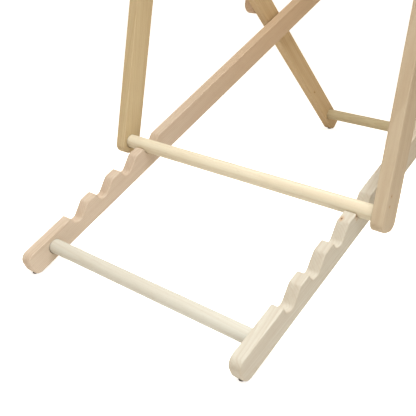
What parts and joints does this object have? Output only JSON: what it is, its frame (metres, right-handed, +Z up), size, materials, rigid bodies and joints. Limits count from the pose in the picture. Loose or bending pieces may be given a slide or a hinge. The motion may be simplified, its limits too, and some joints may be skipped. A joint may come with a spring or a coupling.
{
  "type": "folding deck chair frame",
  "caption": "Folding wooden sling-chair frame: notched seat frame, crossing back frame, prop frame with a rung in a notch, armrests.",
  "frame": {"origin": "on the floor, under the middle of the bounding box", "axes": "+Z up, the chair's front faces -Y, X across its width"},
  "size_m": [0.6304, 1.062, 0.9329],
  "materials": {
    "rail_wood": "smooth sanded pale hardwood, unvarnished, eased edges, small pin knots",
    "rung_wood": "turned pale hardwood, straight grain, unvarnished",
    "bolt_steel": "zinc-plated, satin",
    "insert_steel": "plain steel, dull",
    "washer": "natural nylon, matte",
    "glide": "grey moulded, matte"
  },
  "bodies": {
    "seat_frame": {"seat_rail_left": "rail_wood", "seat_rail_right": "rail_wood", "end_rung": "rung_wood", "front_rung": "rung_wood", "heel_glide_left": "glide", "main_insert_left": "insert_steel", "main_bolt_left": "bolt_steel", "main_washer_left": "washer", "heel_glide_right": "glide", "main_insert_right": "insert_steel", "main_bolt_right": "bolt_steel", "main_washer_right": "washer"},
    "back_frame": {"back_rail_left": "rail_wood", "arm_post_left": "rail_wood", "armrest_left": "rail_wood", "back_rail_right": "rail_wood", "arm_post_right": "rail_wood", "armrest_right": "rail_wood", "foot_rung": "rung_wood", "head_rung": "rung_wood", "prop_bolt_left": "bolt_steel", "prop_insert_left": "insert_steel", "prop_washer_left": "washer", "post_bolt_left": "bolt_steel", "post_insert_left": "insert_steel", "post_washer_left": "washer", "arm_rear_bolt_left": "bolt_steel", "arm_rear_insert_left": "insert_steel", "arm_rear_spacer_left": "washer", "arm_front_bolt_left": "bolt_steel", "arm_front_insert_left": "insert_steel", "arm_front_washer_left": "washer", "foot_glide_left": "glide", "prop_bolt_right": "bolt_steel", "prop_insert_right": "insert_steel", "prop_washer_right": "washer", "post_bolt_right": "bolt_steel", "post_insert_right": "insert_steel", "post_washer_right": "washer", "arm_rear_bolt_right": "bolt_steel", "arm_rear_insert_right": "insert_steel", "arm_rear_spacer_right": "washer", "arm_front_bolt_right": "bolt_steel", "arm_front_insert_right": "insert_steel", "arm_front_washer_right": "washer", "foot_glide_right": "glide"},
    "prop_frame": {"prop_rail_left": "rail_wood", "prop_rail_right": "rail_wood", "prop_rung": "rung_wood"}
  },
  "joints": [
    {"name": "back_fold", "type": "hinge", "parent": "seat_frame", "child": "back_frame", "pos_m": [0, -0.18428, 0.31171], "axis": [1, 0, 0], "range_deg": [0, 103.5]},
    {"name": "prop_fold", "type": "hinge", "parent": "back_frame", "child": "prop_frame", "pos_m": [0, 0.12647, 0.65897], "axis": [1, 0, 0], "range_deg": [-41.5, 0]}
  ],
  "couplings": [
    {"joint": "prop_fold", "follows": "back_fold", "ratio": -0.4}
  ]
}
